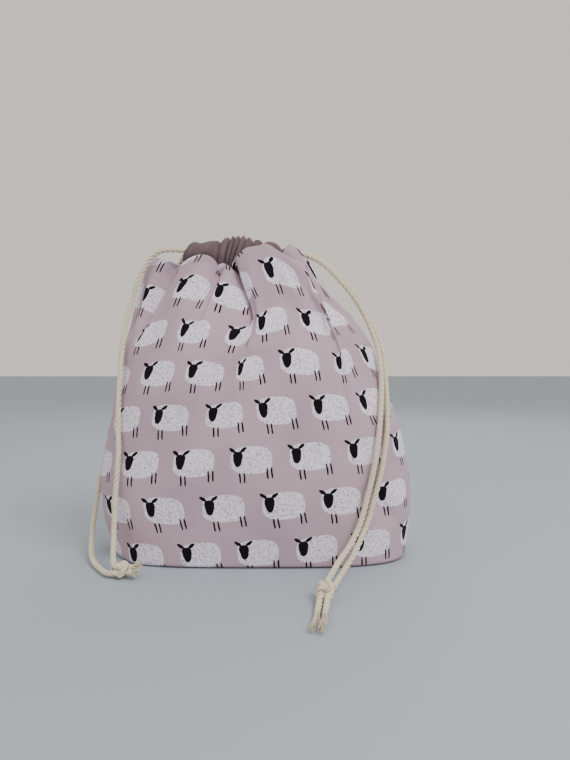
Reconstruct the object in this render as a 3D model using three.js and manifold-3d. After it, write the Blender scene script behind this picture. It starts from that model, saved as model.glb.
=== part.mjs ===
// Lined drawstring project bag with a boxed base, standing full on a table.
// Millimetres, +Z up, origin at the middle of the base, front towards -Y.
// Cloth layers are thin shells cut from one lofted body; each cut piece is its own mesh.
import * as THREE from 'three';
import { mergeVertices } from 'three/addons/utils/BufferGeometryUtils.js';
import Module from 'manifold-3d';

const wasm = await Module();
wasm.setup();

// ---- driving dimensions -------------------------------------------------
// Plan outline at each height: reach to the left and right of the origin, half depth,
// and the power of the super-ellipse (2 is an ellipse, more is boxier).
const BODY_LEVELS = [
  { z: 0, left: 132, right: 140, depth: 65, power: 2.6 },
  { z: 20, left: 141, right: 146, depth: 68, power: 2.6 },
  { z: 45, left: 147.5, right: 149.5, depth: 71, power: 2.6 },
  { z: 75, left: 150, right: 150, depth: 72, power: 2.5 },
  { z: 112, left: 143, right: 143, depth: 69.5, power: 2.4 },
  { z: 152, left: 136, right: 129, depth: 65, power: 2.3 },
  { z: 192, left: 129.5, right: 118, depth: 58, power: 2.2 },
  { z: 230, left: 120.5, right: 99.5, depth: 45, power: 2.1 },
  { z: 262, left: 108, right: 77, depth: 30.5, power: 2.0 },
  { z: 284, left: 93, right: 51, depth: 20, power: 2.0 },
];
const RIM_HEIGHT = 284;
const OUTLINE_SEGMENTS = 40;

const OUTER = { inset: 0, thickness: 1.0 };
const INTERFACING = { inset: 1.3, thickness: 1.5 };
const LINING = { inset: 3.1, thickness: 0.8 };
const INTERFACING_TOP = 184;
const SEAM_GAP = 0.4; // clear between the front and back pieces, and round the mouth flaps
const CLOTH_GAP = 0.3; // clear between a casing and the rim that it is sewn to

const HINGE_HEIGHT = 190; // the mouth flaps fold out about this level
const CASING_LEFT = -70;
const CASING_RIGHT = 31;
const FLAP_MARGIN = 2.5; // the flaps reach this far past the ends of the casings

const RIGHT_EAR_TOP = 279.5; // the cords from the right of the casings pass over this low place

// The gathered mouth leans down to the right. Heights are measured from its middle line.
const MOUTH_MIDDLE = [(CASING_LEFT + CASING_RIGHT) / 2, 286];
const MOUTH_SLOPE = -11 / (CASING_RIGHT - CASING_LEFT);
const CASING_OUTER_Y = 17.5;
const CASING_INNER_Y = 3.5;
const CASING_BELOW = 8.5;
const CASING_ABOVE = 11;
const CASING_CORNER = 5;
const CHANNEL_WIDTH = 6.6;
const CHANNEL_HEIGHT = 13;

const CORD_RADIUS = 2.5;
const CORD_SIDES = 8;
const CORD_Y = 10.5; // cords run this far in front of and behind the slit between the casings
const LEFT_CORD_LIFT = -3.15; // the left drawstring lies under the right one in both channels
const RIGHT_CORD_LIFT = 3.15;
const RETURN_REACH = 8;
const TOUCH_GAP = 0.15; // half the gap between two cord ends that meet

// ---- free cord routes, from the casing down to the knot -------------------
const LEFT_FRONT_LEG = [
  [-70.3, -10.5, 288.4], [-80, -10.5, 288.9], [-90.5, -9.5, 287.6], [-98.5, -8.5, 282.5],
  [-105.3, -8, 273.5], [-111.5, -8.5, 262], [-117.2, -10.5, 240.7], [-121.8, -14.5, 222],
  [-123.2, -23, 201.5], [-123.7, -31, 176.5], [-123.4, -39.5, 145], [-122.2, -46, 121],
  [-120.4, -51.5, 102], [-121, -54.5, 83], [-122.3, -56, 62], [-122.3, -59.5, 42],
  [-121, -66.5, 25], [-118.9, -75.5, 12.2], [-115.4, -83, 7],
];
const LEFT_BACK_LEG = [
  [-70.3, 10.5, 288.4], [-74.8, 10.7, 288.8], [-79, 13.6, 286.8], [-81, 19, 281],
  [-81.5, 24.5, 272.5], [-85, 27, 262], [-92.5, 28, 250.5], [-102, 28, 238], [-112, 27, 221], [-120, 26, 203],
  [-126.7, 25, 185], [-132.8, 24, 160], [-138.9, 22, 135], [-145.2, 18, 110],
  [-151, 11, 86], [-154.2, 4, 64], [-155.5, -3, 45], [-155.5, -13, 29],
  [-153, -26, 15.5], [-148, -43, 7.5], [-140.5, -59, 4.2], [-130.5, -74, 3.2],
  [-121.4, -85.6, 3.6], [-115.2, -91, 4.8],
];
const RIGHT_FRONT_LEG = [
  [31.3, -10.5, 283.6], [38.5, -10.6, 283.8], [46.5, -10.3, 284], [54, -9.8, 281.8],
  [62, -9.2, 277.8], [69.8, -8.6, 272], [82, -8, 259.5], [95, -6.8, 244],
  [105.8, -7, 226], [114.8, -13, 203], [117.9, -22.5, 184], [117.9, -32, 164],
  [116.5, -40.8, 145], [113.2, -50.8, 121], [109.4, -57.8, 98.5], [105.3, -62, 80],
  [100.2, -65.5, 61.5], [95.5, -69, 45.5], [88, -76.5, 31], [80.5, -87, 23],
  [73, -99, 17.5], [67, -112, 13.5], [60.8, -127.8, 10.4],
];
const RIGHT_BACK_LEG = [
  [31.3, 10.5, 283.6], [37.5, 10.7, 284.1], [45.5, 8.8, 287.4], [53, 5.2, 286.3],
  [61.5, 1.5, 281.8], [70.5, -1.5, 275.2], [83.3, -2, 263.2], [96.8, -0.8, 247.5],
  [108, -1, 229], [117, -6.5, 209], [121.8, -14.5, 189], [122.8, -25, 166],
  [122.6, -35.5, 145], [121, -46, 121], [117.2, -54, 98.5], [112.8, -59, 80],
  [107.2, -62.8, 61.5], [101.6, -67, 44], [94, -75, 29.5], [86, -86.5, 18.5],
  [77.5, -98, 10.5], [71.5, -111, 7.2], [68.4, -121, 7], [66.2, -130, 7.2],
];

// ---- knots and tails, lying on the table --------------------------------
const LEFT_KNOT = { centre: [-105, -88, 7.2], radii: [9, 8.5, 7] };
const RIGHT_KNOT = { centre: [58.7, -137, 8], radii: [8, 9, 7.8] };
const LEFT_TAILS = {
  left_tail_front: [[-95.2, -91, 6], [-91.5, -91.8, 6.6], [-88, -92.4, 7.8]],
  left_tail_back: [[-95.6, -84.8, 8.4], [-91.5, -83.7, 9.4], [-88.5, -83, 11]],
};
const RIGHT_TAILS = {
  right_tail_front: [
    [54.6, -145.9, 5.2], [52.5, -160, 3.2], [50, -175, 2.9], [49.2, -187, 2.9], [49, -197, 3.1],
  ],
  right_tail_back: [
    [60.4, -145.9, 5], [58.2, -160, 3.1], [55.8, -175, 2.8], [55, -187, 2.8], [54.9, -199, 3],
  ],
};

// ---- cloth and cord colours ----------------------------------------------
const PRINTED_COTTON = { color: 0xcbb9bb, roughness: 0.85 };
const TAUPE_COTTON = { color: 0x8a7572, roughness: 0.88 };
const STIFFENER = { color: 0xe9e6df, roughness: 0.95 };
const CREAM_CORD = { color: 0xe6dcc6, roughness: 0.9 };

// ---- solids and booleans ------------------------------------------------
function toSolid(geometry) {
  const bare = geometry.clone();
  bare.deleteAttribute('normal');
  bare.deleteAttribute('uv');
  const merged = mergeVertices(bare, 1e-4);
  return new wasm.Manifold(new wasm.Mesh({
    numProp: 3,
    vertProperties: new Float32Array(merged.attributes.position.array),
    triVerts: new Uint32Array(merged.index.array),
  }));
}

function toGeometry(solid) {
  const mesh = solid.getMesh();
  const geometry = new THREE.BufferGeometry();
  geometry.setAttribute('position', new THREE.BufferAttribute(mesh.vertProperties, 3));
  geometry.setIndex(new THREE.BufferAttribute(mesh.triVerts, 1));
  geometry.computeVertexNormals();
  return geometry;
}

function block(low, high, lean = (geometry) => geometry) {
  const size = high.map((value, axis) => value - low[axis]);
  const geometry = new THREE.BoxGeometry(...size);
  geometry.translate(...low.map((value, axis) => value + size[axis] / 2));
  return toSolid(lean(geometry));
}

// Shears a shape that was made level, at heights above the mouth's middle line.
function leanWithMouth(geometry) {
  const [x, z] = MOUTH_MIDDLE;
  const shear = new THREE.Matrix4().set(
    1, 0, 0, 0,
    0, 1, 0, 0,
    MOUTH_SLOPE, 0, 1, z - MOUTH_SLOPE * x,
    0, 0, 0, 1,
  );
  return geometry.applyMatrix4(shear);
}

// ---- the bag's lofted body ----------------------------------------------
function levelAt(z) {
  const above = BODY_LEVELS.findIndex((level) => level.z >= z);
  if (above < 0) return BODY_LEVELS[BODY_LEVELS.length - 1];
  if (above === 0) return BODY_LEVELS[0];
  const low = BODY_LEVELS[above - 1];
  const high = BODY_LEVELS[above];
  const share = (z - low.z) / (high.z - low.z);
  const mix = (key) => low[key] + (high[key] - low[key]) * share;
  return { left: mix('left'), right: mix('right'), depth: mix('depth'), power: mix('power') };
}

function outlinePoint(step, z, inset) {
  const level = levelAt(z);
  const angle = (step / OUTLINE_SEGMENTS) * 2 * Math.PI;
  const bend = 2 / level.power;
  const rounded = (value) => Math.sign(value) * Math.abs(value) ** bend;
  const halfWidth = (level.left + level.right) / 2 - inset;
  const middle = (level.right - level.left) / 2;
  return [
    middle + halfWidth * rounded(Math.cos(angle)),
    (level.depth - inset) * rounded(Math.sin(angle)),
    z,
  ];
}

// A closed solid through the body's outlines, `inset` inside the cloth's outer face.
function loft(inset, bottom, top) {
  const inner = BODY_LEVELS.map((level) => level.z).filter((z) => z > bottom && z < top);
  const heights = [bottom, ...inner, top];
  const positions = [];
  heights.forEach((z) => {
    for (let step = 0; step < OUTLINE_SEGMENTS; step += 1) {
      positions.push(...outlinePoint(step, z, inset));
    }
  });
  const lastRing = (heights.length - 1) * OUTLINE_SEGMENTS;
  const bottomCentre = positions.length / 3;
  positions.push(0, 0, bottom);
  positions.push(0, 0, top);
  const faces = [];
  for (let step = 0; step < OUTLINE_SEGMENTS; step += 1) {
    const next = (step + 1) % OUTLINE_SEGMENTS;
    for (let ring = 0; ring < lastRing; ring += OUTLINE_SEGMENTS) {
      const above = ring + OUTLINE_SEGMENTS;
      faces.push(ring + step, ring + next, above + next);
      faces.push(ring + step, above + next, above + step);
    }
    faces.push(bottomCentre, next, step);
    faces.push(bottomCentre + 1, lastRing + step, lastRing + next);
  }
  const geometry = new THREE.BufferGeometry();
  geometry.setAttribute('position', new THREE.Float32BufferAttribute(positions, 3));
  geometry.setIndex(faces);
  return toSolid(geometry);
}

// An open-topped cloth layer with a flat floor.
function layerShell(layer, top) {
  const within = layer.inset + layer.thickness;
  const aboveTop = top + 10;
  return loft(layer.inset, layer.inset, top).subtract(loft(within, within, aboveTop));
}

const FAR = 400; // past every part of the bag
const frontHalf = block([-FAR, -FAR, -1], [FAR, -SEAM_GAP / 2, FAR]);
const backHalf = block([-FAR, SEAM_GAP / 2, -1], [FAR, FAR, FAR]);
const flapLeft = CASING_LEFT - FLAP_MARGIN;
const flapRight = CASING_RIGHT + FLAP_MARGIN;
const flapBlock = block([flapLeft, -FAR, HINGE_HEIGHT + SEAM_GAP], [flapRight, FAR, FAR]);
const flapClearance = block(
  [flapLeft - SEAM_GAP, -FAR, HINGE_HEIGHT],
  [flapRight + SEAM_GAP, FAR, FAR],
);
const aboveRightEar = block([CASING_RIGHT, -FAR, RIGHT_EAR_TOP], [FAR, FAR, FAR]);
const aboveFlapRim = block(
  [-FAR, -FAR, -CASING_BELOW - CLOTH_GAP],
  [FAR, FAR, FAR],
  leanWithMouth,
);

// A panel is one side's wall and half base, without the flap at the mouth.
function panel(layer, half) {
  const wall = layerShell(layer, RIM_HEIGHT).intersect(half);
  return toGeometry(wall.subtract(flapClearance).subtract(aboveRightEar));
}

function shoulder(layer, half) {
  const wall = layerShell(layer, RIM_HEIGHT).intersect(half);
  return toGeometry(wall.intersect(flapBlock).subtract(aboveFlapRim));
}

function stiffener(half) {
  return toGeometry(layerShell(INTERFACING, INTERFACING_TOP).intersect(half));
}

// ---- casings ------------------------------------------------------------
// A folded strip sewn on the rim, with a channel for the two cords. side is -1 in front.
function casing(side) {
  const halfWidth = (CASING_OUTER_Y - CASING_INNER_Y) / 2;
  const cornerY = halfWidth - CASING_CORNER;
  const cornerZ = CASING_ABOVE - CASING_CORNER;
  const section = new THREE.Shape();
  section.moveTo(-halfWidth, -CASING_BELOW);
  section.lineTo(halfWidth, -CASING_BELOW);
  section.lineTo(halfWidth, cornerZ);
  section.absarc(cornerY, cornerZ, CASING_CORNER, 0, Math.PI / 2, false);
  section.lineTo(-cornerY, CASING_ABOVE);
  section.absarc(-cornerY, cornerZ, CASING_CORNER, Math.PI / 2, Math.PI, false);
  section.closePath();
  const channel = new THREE.Path();
  channel.moveTo(-CHANNEL_WIDTH / 2, -CHANNEL_HEIGHT / 2);
  channel.lineTo(-CHANNEL_WIDTH / 2, CHANNEL_HEIGHT / 2);
  channel.lineTo(CHANNEL_WIDTH / 2, CHANNEL_HEIGHT / 2);
  channel.lineTo(CHANNEL_WIDTH / 2, -CHANNEL_HEIGHT / 2);
  channel.closePath();
  section.holes.push(channel);
  const geometry = new THREE.ExtrudeGeometry(section, {
    depth: CASING_RIGHT - CASING_LEFT, bevelEnabled: false, curveSegments: 4,
  });
  // Section x, y and depth become the bag's y, z and x.
  geometry.applyMatrix4(new THREE.Matrix4().set(0, 0, 1, 0, 1, 0, 0, 0, 0, 1, 0, 0, 0, 0, 0, 1));
  geometry.translate(CASING_LEFT, side * (CASING_OUTER_Y + CASING_INNER_Y) / 2, 0);
  return leanWithMouth(geometry);
}

// ---- cords --------------------------------------------------------------
function cordAlong(points, steps) {
  const path = new THREE.CatmullRomCurve3(points.map((point) => new THREE.Vector3(...point)));
  const section = new THREE.Shape();
  section.absarc(0, 0, CORD_RADIUS, 0, 2 * Math.PI, false);
  return new THREE.ExtrudeGeometry(section, {
    steps, extrudePath: path, curveSegments: CORD_SIDES, bevelEnabled: false,
  });
}

// One step for every 3 diameters or less of the route.
function freeCord(points) {
  const path = new THREE.CatmullRomCurve3(points.map((point) => new THREE.Vector3(...point)));
  const steps = Math.ceil(path.getLength() / (5.5 * CORD_RADIUS));
  return cordAlong(points, steps);
}

function straightRun(side, lift) {
  const from = [CASING_LEFT + TOUCH_GAP, side * CORD_Y, lift];
  const to = [CASING_RIGHT - TOUCH_GAP, side * CORD_Y, lift];
  return leanWithMouth(cordAlong([from, to], 4));
}

// The bare half turn that takes a cord round the side seam, from one casing to the other.
function returnTurn(x, outward, lift) {
  const start = x + outward * TOUCH_GAP;
  const turnPoints = 8;
  const points = [[start, -CORD_Y, lift]];
  for (let step = 0; step <= turnPoints; step += 1) {
    const angle = (step / turnPoints) * Math.PI - Math.PI / 2;
    const across = start + outward * (1 + RETURN_REACH * Math.cos(angle));
    points.push([across, CORD_Y * Math.sin(angle), lift]);
  }
  points.push([start, CORD_Y, lift]);
  return leanWithMouth(cordAlong(points, 12));
}

function knot({ centre, radii }) {
  const geometry = new THREE.SphereGeometry(1, 16, 10);
  geometry.scale(...radii);
  geometry.translate(...centre);
  return geometry;
}

// ---- assembly -----------------------------------------------------------
const bag = new THREE.Group();

function add(name, geometry, finish) {
  const mesh = new THREE.Mesh(geometry, new THREE.MeshStandardMaterial({ ...finish, metalness: 0 }));
  mesh.name = name;
  bag.add(mesh);
}

const SIDES = [
  { name: 'front', half: frontHalf, side: -1 },
  { name: 'back', half: backHalf, side: 1 },
];
SIDES.forEach(({ name, half, side }) => {
  add(`outer_${name}_panel`, panel(OUTER, half), PRINTED_COTTON);
  add(`interfacing_${name}`, stiffener(half), STIFFENER);
  add(`lining_${name}_panel`, panel(LINING, half), TAUPE_COTTON);
  add(`outer_${name}_shoulder`, shoulder(OUTER, half), PRINTED_COTTON);
  add(`lining_${name}_shoulder`, shoulder(LINING, half), TAUPE_COTTON);
  add(`casing_${name}`, casing(side), TAUPE_COTTON);
  add(`left_drawstring_${name}_run`, straightRun(side, LEFT_CORD_LIFT), CREAM_CORD);
  add(`right_drawstring_${name}_run`, straightRun(side, RIGHT_CORD_LIFT), CREAM_CORD);
});

add('left_drawstring_return', returnTurn(CASING_RIGHT, 1, LEFT_CORD_LIFT), CREAM_CORD);
add('right_drawstring_return', returnTurn(CASING_LEFT, -1, RIGHT_CORD_LIFT), CREAM_CORD);
add('left_drawstring_front_leg', freeCord(LEFT_FRONT_LEG), CREAM_CORD);
add('left_drawstring_back_leg', freeCord(LEFT_BACK_LEG), CREAM_CORD);
add('right_drawstring_front_leg', freeCord(RIGHT_FRONT_LEG), CREAM_CORD);
add('right_drawstring_back_leg', freeCord(RIGHT_BACK_LEG), CREAM_CORD);
add('left_knot', knot(LEFT_KNOT), CREAM_CORD);
add('right_knot', knot(RIGHT_KNOT), CREAM_CORD);
Object.entries({ ...LEFT_TAILS, ...RIGHT_TAILS }).forEach(([name, points]) => {
  add(name, freeCord(points), CREAM_CORD);
});

export default bag;
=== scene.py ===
# A drawstring project bag in printed cotton, standing full, with taupe casings and cream cord.
# Everything is in metres in the CAD's frame: +Z up, front towards -Y, origin under the base.
import math

import bpy
import numpy as np
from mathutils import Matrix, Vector
from mathutils.bvhtree import BVHTree


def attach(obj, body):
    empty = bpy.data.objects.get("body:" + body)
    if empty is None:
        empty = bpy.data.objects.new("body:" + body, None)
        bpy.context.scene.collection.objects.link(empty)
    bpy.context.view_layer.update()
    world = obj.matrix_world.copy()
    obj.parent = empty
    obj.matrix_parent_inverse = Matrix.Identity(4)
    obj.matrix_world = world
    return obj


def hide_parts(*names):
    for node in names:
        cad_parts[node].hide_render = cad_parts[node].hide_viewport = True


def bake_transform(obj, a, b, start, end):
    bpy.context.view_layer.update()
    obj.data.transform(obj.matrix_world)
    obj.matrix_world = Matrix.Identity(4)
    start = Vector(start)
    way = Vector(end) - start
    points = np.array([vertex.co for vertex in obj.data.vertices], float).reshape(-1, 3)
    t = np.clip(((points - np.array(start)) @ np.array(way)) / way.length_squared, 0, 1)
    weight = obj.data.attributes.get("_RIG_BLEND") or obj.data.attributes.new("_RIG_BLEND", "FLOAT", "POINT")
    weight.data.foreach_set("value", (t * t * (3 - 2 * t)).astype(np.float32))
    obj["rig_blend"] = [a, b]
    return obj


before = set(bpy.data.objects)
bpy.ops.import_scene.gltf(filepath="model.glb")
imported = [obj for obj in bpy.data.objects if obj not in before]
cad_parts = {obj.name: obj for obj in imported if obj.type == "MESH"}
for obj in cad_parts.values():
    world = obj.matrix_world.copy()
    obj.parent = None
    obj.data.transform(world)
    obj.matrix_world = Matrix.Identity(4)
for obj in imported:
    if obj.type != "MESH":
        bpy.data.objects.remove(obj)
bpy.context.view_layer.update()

MM = 0.001

# ---- driving values, in millimetres ----------------------------------------
PANEL_WIDTH = 368.0  # flat width of the front or back panel, seam to seam
WALL_HEIGHT = 300.0  # flat height of the wall, base edge to rim
CASING_FLAT = 300.0  # flat length of a casing strip
CASING_HEIGHT = 32.0  # folded height of a casing strip
CORD_DIAMETER = 5.0
CORD_Y = 10.5  # how far in front of or behind the middle the cords run in the casings
CORD_LIFT = 3.15  # the right cord runs this much above a casing's middle line, the left below
RETURN_REACH = 6.5  # how far a cord's turn from one casing to the other stands out
MOUTH_MIDDLE = (-19.5, 286)  # x and z; the mouth leans down to the right from here
MOUTH_SLOPE = 11 / 101
HINGE_HEIGHT = 190  # the cloth above this follows the opening mouth, fully so 80 mm higher
COLUMNS = 184  # cloth columns round the bag, 4 mm apart on the flat cloth
BASE_ROWS = 7
WALL_ROWS = 75

# Plan outline by height: reach left, reach right, half depth, super-ellipse power.
BODY_LEVELS = np.array([
    (0, 134, 143, 66, 3.5),
    (20, 142, 147, 69, 3.0),
    (45, 148, 149.5, 71, 2.7),
    (75, 150, 150, 72, 2.5),
    (112, 143, 143, 69.5, 2.4),
    (152, 136, 129, 65, 2.3),
    (192, 129.5, 118, 58, 2.2),
    (230, 120.5, 99.5, 45, 2.1),
    (262, 108, 77, 30.5, 2.0),
    (284, 93, 51, 20, 2.0),
])

# ---- free cord routes, from the casing down to the knot (mm) ----------------
LEFT_FRONT_LEG = [
    (-70.3, -10.5, 288.4), (-80, -10.5, 288.9), (-90.5, -9.5, 287.6), (-98.5, -8.5, 282.5),
    (-105.3, -8, 273.5), (-111.5, -8.5, 262), (-117.2, -10.5, 240.7), (-121.8, -14.5, 222),
    (-123.2, -23, 201.5), (-123.7, -31, 176.5), (-123.4, -39.5, 145), (-122.2, -46, 121),
    (-120.4, -51.5, 102), (-121, -54.5, 83), (-122.3, -56, 62), (-122.3, -59.5, 42),
    (-121, -66.5, 25), (-118.9, -75.5, 12.2), (-115.4, -83, 7),
]
LEFT_BACK_LEG = [
    (-66.5, 10.5, 288), (-71.5, 12, 286), (-75.8, 15.8, 280.5), (-79.5, 21, 272.5),
    (-84.5, 26, 262), (-92.5, 28, 250.5), (-102, 28, 238), (-112, 27, 221), (-120, 26, 203),
    (-126.7, 25, 185), (-132.8, 24, 160), (-138.9, 22, 135), (-145.2, 18, 110),
    (-151, 11, 86), (-154.2, 4, 64), (-155.5, -3, 45), (-155.5, -13, 29),
    (-153, -26, 15.5), (-148, -43, 7.5), (-140.5, -59, 4.2), (-130.5, -74, 3.2),
    (-121.4, -85.6, 3.6), (-115.6, -89.6, 4.6), (-110.8, -90.6, 5.4),
]
RIGHT_FRONT_LEG = [
    (31.3, -10.5, 283.6), (38.5, -10.6, 283.8), (46.5, -10.3, 284), (54, -9.8, 281.8),
    (62, -9.2, 277.8), (69.8, -8.6, 272), (82, -8, 259.5), (95, -6.8, 244),
    (105.8, -7, 226), (114.8, -13, 203), (117.9, -22.5, 184), (117.9, -32, 164),
    (116.5, -40.8, 145), (113.2, -50.8, 121), (109.4, -57.8, 98.5), (105.3, -62, 80),
    (100.2, -65.5, 61.5), (95.5, -69, 45.5), (88, -76.5, 31), (80.5, -87, 23),
    (73, -99, 17.5), (67, -112, 13.5), (60.8, -127.8, 10.4),
]
RIGHT_BACK_LEG = [
    (31.3, 10.5, 283.6), (37.5, 10.7, 284.1), (45.5, 8.8, 287.4), (53, 5.2, 286.3),
    (61.5, 1.5, 281.8), (70.5, -1.5, 275.2), (83.3, -2, 263.2), (96.8, -0.8, 247.5),
    (108, -1, 229), (117, -6.5, 209), (121.8, -14.5, 189), (122.8, -25, 166),
    (122.6, -35.5, 145), (121, -46, 121), (117.2, -54, 98.5), (112.8, -59, 80),
    (107.2, -62.8, 61.5), (101.6, -67, 44), (94, -75, 29.5), (86, -86.5, 18.5),
    (77.5, -98, 10.5), (71.5, -111, 7.2), (68.4, -121, 7), (66.2, -130, 7.2),
]

# ---- the rim of the outer cloth, gathered on the cords: x, y, z (mm) -----------
# Front, from the left side seam to the right side seam.
FRONT_RIM = [
    (-102, 0, 283.5), (-95, -5, 281.5), (-85, -8, 277.5), (-76, -6, 272), (-73, -12, 271.5),
    (-68, -19, 275), (-58, -22, 280), (-48, -22, 282.5), (-39, -20, 280),
    (-33.5, -14, 273), (-31.5, -6, 269), (-30, -13, 271), (-27, -19, 274.5),
    (-21, -19.5, 270), (-12.5, -16, 262.5), (-5, -10, 257.5), (1, -6, 259),
    (-6, -9, 266), (-14, -15, 272), (-19.5, -20.5, 278), (-15.5, -24, 281.5),
    (-6.5, -24.5, 289), (3.5, -23.5, 290.5), (10.8, -23, 293), (23.5, -22.5, 286),
    (33.5, -22, 280.5), (44, -20.5, 275), (50, -18.8, 272.5), (42, -17.8, 274),
    (33, -17.6, 279), (26.5, -17.4, 284.5), (29.5, -16.8, 291), (34, -16.4, 293.8),
    (41, -15.9, 288), (49, -14.9, 281), (54.5, -11.5, 276.5), (53, -3, 276), (47, 6, 281),
]
# Back, from the right side seam to the left side seam.
BACK_RIM = [
    (47, 6, 281), (51, 11, 278), (53, 15, 274), (47, 20, 273), (36, 23, 275), (22, 23, 278),
    (10, 22, 276), (5, 14, 271), (0, 8, 270), (-6, 15, 273), (-11, 22, 277), (-20, 21, 275),
    (-25, 13, 270), (-29, 7, 269), (-33, 14, 272), (-38, 21, 277), (-49, 23, 281),
    (-60, 22, 282), (-70, 19, 278), (-74, 13, 273), (-76, 9, 272), (-82, 12, 276),
    (-91, 12, 280), (-99, 8, 282), (-104, 4, 283.5), (-102, 0, 283.5),
]


# ---- camera -----------------------------------------------------------------
CAMERA_LENS = 28.42
CAMERA_PLACE = (0.02875, -0.587, 0.1788)  # metres
CAMERA_TILT_DOWN = 1.432  # degrees, from where the horizon is in the photo


def add_camera():
    data = bpy.data.cameras.new("view")
    data.lens = CAMERA_LENS
    data.sensor_width = 36
    data.clip_start = 0.01
    camera = bpy.data.objects.new("view", data)
    camera.location = CAMERA_PLACE
    camera.rotation_euler = (math.radians(90 - CAMERA_TILT_DOWN), 0, 0)
    bpy.context.scene.collection.objects.link(camera)
    bpy.context.scene.camera = camera


add_camera()


# ---- curves and meshes --------------------------------------------------------
def smooth_curve(points, spacing):
    """Centripetal Catmull-Rom through the points, resampled evenly at about the spacing."""
    p = np.array(points, float)
    ends = np.vstack([2 * p[0] - p[1], p, 2 * p[-1] - p[-2]])
    fine = []
    for p0, p1, p2, p3 in zip(ends, ends[1:], ends[2:], ends[3:]):
        t1 = np.sqrt(np.linalg.norm(p1 - p0))
        t2 = t1 + np.sqrt(np.linalg.norm(p2 - p1))
        t3 = t2 + np.sqrt(np.linalg.norm(p3 - p2))
        t = np.linspace(t1, t2, 24, endpoint=False)[:, None]
        a1 = (t1 - t) / t1 * p0 + t / t1 * p1
        a2 = (t2 - t) / (t2 - t1) * p1 + (t - t1) / (t2 - t1) * p2
        a3 = (t3 - t) / (t3 - t2) * p2 + (t - t2) / (t3 - t2) * p3
        b1 = (t2 - t) / t2 * a1 + t / t2 * a2
        b2 = (t3 - t) / (t3 - t1) * a2 + (t - t1) / (t3 - t1) * a3
        fine.append((t2 - t) / (t2 - t1) * b1 + (t - t1) / (t2 - t1) * b2)
    return resample(np.vstack(fine + [p[-1:]]), spacing=spacing)


def resample(line, spacing=None, count=None):
    """Points evenly spaced along a polyline, either about a spacing apart or count of them."""
    lengths = np.linalg.norm(np.diff(line, axis=0), axis=1)
    along = np.concatenate([[0], np.cumsum(lengths)])
    if count is None:
        count = max(2, int(round(along[-1] / spacing)) + 1)
    at = np.linspace(0, along[-1], count)
    return np.stack([np.interp(at, along, line[:, k]) for k in range(line.shape[1])], 1)


def length_of(line):
    return float(np.linalg.norm(np.diff(line, axis=0), axis=1).sum())


def ease(value):
    value = np.clip(value, 0, 1)
    return value * value * (3 - 2 * value)


def carried_frames(line):
    """Unit tangents, and two unit vectors across that turn as little as possible."""
    tangent = np.gradient(line, axis=0)
    tangent /= np.linalg.norm(tangent, axis=1)[:, None]
    start = np.array([0.0, 0.0, 1.0]) if abs(tangent[0][2]) < 0.9 else np.array([1.0, 0, 0])
    across = [np.cross(tangent[0], start)]
    across[0] /= np.linalg.norm(across[0])
    for t in tangent[1:]:
        a = across[-1] - np.dot(across[-1], t) * t
        across.append(a / np.linalg.norm(a))
    across = np.array(across)
    return tangent, across, np.cross(tangent, across)


def add_mesh(name, vertices, faces, uv=None):
    """A smooth mesh from points in millimetres; uv is one pair for each vertex."""
    mesh = bpy.data.meshes.new(name)
    mesh.from_pydata((np.asarray(vertices) * MM).tolist(), [], [tuple(f) for f in faces])
    mesh.polygons.foreach_set("use_smooth", [True] * len(mesh.polygons))
    if uv is not None:
        loops = np.zeros(len(mesh.loops), int)
        mesh.loops.foreach_get("vertex_index", loops)
        layer = mesh.uv_layers.new(name="cloth")
        layer.data.foreach_set("uv", np.asarray(uv, float)[loops].ravel())
    mesh.update()
    piece = bpy.data.objects.new(name, mesh)
    bpy.context.scene.collection.objects.link(piece)
    return piece


def grid_faces(rows, columns, closed=False):
    """Quads of a grid of points, row by row; closed joins the last column to the first."""
    r, c = np.meshgrid(np.arange(rows - 1), np.arange(columns if closed else columns - 1),
                       indexing="ij")
    right = (c + 1) % columns
    quads = [r * columns + c, r * columns + right, (r + 1) * columns + right,
             (r + 1) * columns + c]
    return np.stack([q.ravel() for q in quads], 1).tolist()


# ---- cords ------------------------------------------------------------------------
ROPE_SIDES = 24
ROPE_STEP = 0.7
ROPE_LAY = 15.0  # length of one full turn of the three strands
STRAND_GROOVE = 0.36


def rope(name, line, diameter, taper=0.0):
    """A three-strand twisted cord along a line, as a closed tube with grooves."""
    line = resample(np.asarray(line, float), spacing=ROPE_STEP)
    _, across, up = carried_frames(line)
    along = np.arange(len(line)) * length_of(line) / (len(line) - 1)
    angle = np.arange(ROPE_SIDES) / ROPE_SIDES * 2 * np.pi
    phase = angle[None, :] - 2 * np.pi * along[:, None] / ROPE_LAY
    radius = diameter / 2 * (1 - STRAND_GROOVE + STRAND_GROOVE * np.abs(np.cos(1.5 * phase)) ** 0.6)
    radius *= 1 - taper * (along / along[-1])[:, None] ** 2
    rings = (line[:, None] + radius[..., None] * (np.cos(angle)[None, :, None] * across[:, None]
             + np.sin(angle)[None, :, None] * up[:, None]))
    vertices = np.vstack([rings.reshape(-1, 3), line[:1], line[-1:]])
    faces = grid_faces(len(line), ROPE_SIDES, closed=True)
    last = (len(line) - 1) * ROPE_SIDES
    for k in range(ROPE_SIDES):
        n = (k + 1) % ROPE_SIDES
        faces.append((len(vertices) - 2, n, k))
        faces.append((len(vertices) - 1, last + k, last + n))
    u = np.repeat(along, ROPE_SIDES)
    v = np.tile(angle / (2 * np.pi), len(line))
    uv = np.vstack([np.stack([u * MM, v], 1), [[0, 0], [along[-1] * MM, 0]]])
    return add_mesh(name, vertices, faces, uv)


# ---- cloth body ----------------------------------------------------------------------
CORNER_CUT_REACH = 146  # the lower left corner is pushed in beyond a line from here
CORNER_CUT_TOP = 70  # up to this height


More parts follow.
